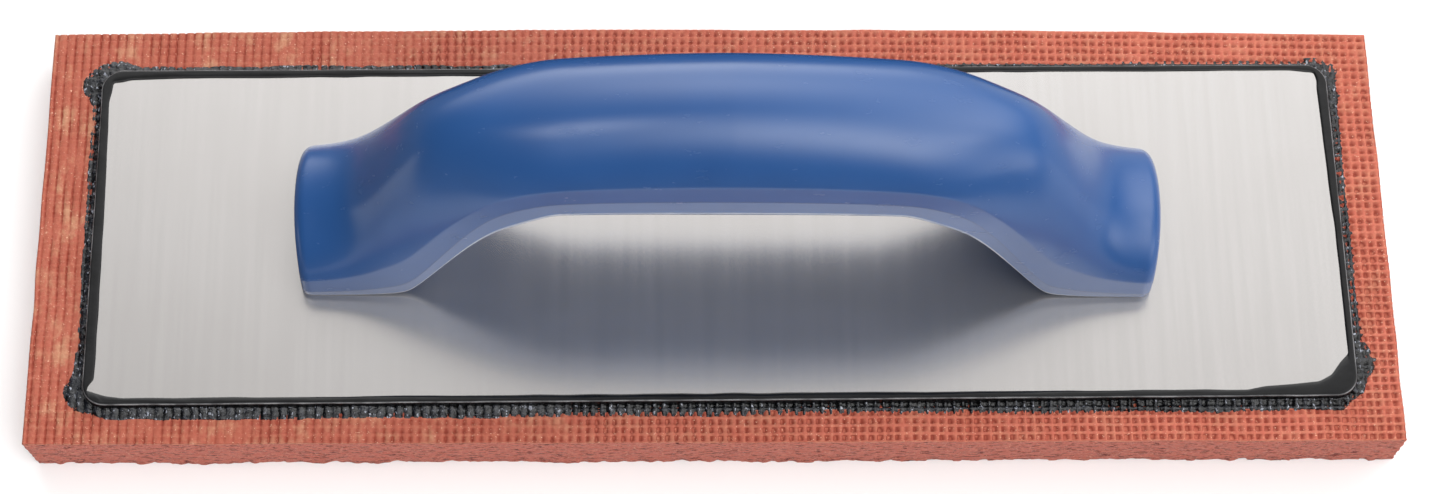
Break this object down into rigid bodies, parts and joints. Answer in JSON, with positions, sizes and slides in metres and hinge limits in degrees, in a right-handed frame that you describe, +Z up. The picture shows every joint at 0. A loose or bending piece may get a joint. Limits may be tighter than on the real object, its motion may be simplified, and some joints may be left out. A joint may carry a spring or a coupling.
{
  "type": "grout float",
  "caption": "Rubber grout float: sponge rubber pad glued under an aluminium plate, with a moulded plastic arch handle screwed on top.",
  "frame": {"origin": "middle of the pad's bottom face, where the tool rests", "axes": "+X along the tool's length, -Y towards the near long side, +Z up through the handle"},
  "size_m": [0.3048, 0.1016, 0.0832],
  "materials": {
    "rubber": "brick-red sponge rubber, cloth-pressed faces, open-cell cut sides",
    "adhesive": "black contact cement, glossy over the weave",
    "plate": "mill finish, fine grain front to back, light scratches",
    "sealant": "smooth satin black",
    "handle": "blue moulded plastic, fine orange peel, light handling marks",
    "screws": "zinc-plated"
  },
  "bodies": {
    "root": {"rubber_pad": "rubber", "adhesive_film": "adhesive", "backing_plate": "plate", "rim_sealant": "sealant", "adhesive_squeeze_out": "adhesive", "handle": "handle", "foot_screws": "screws"}
  },
  "joints": []
}
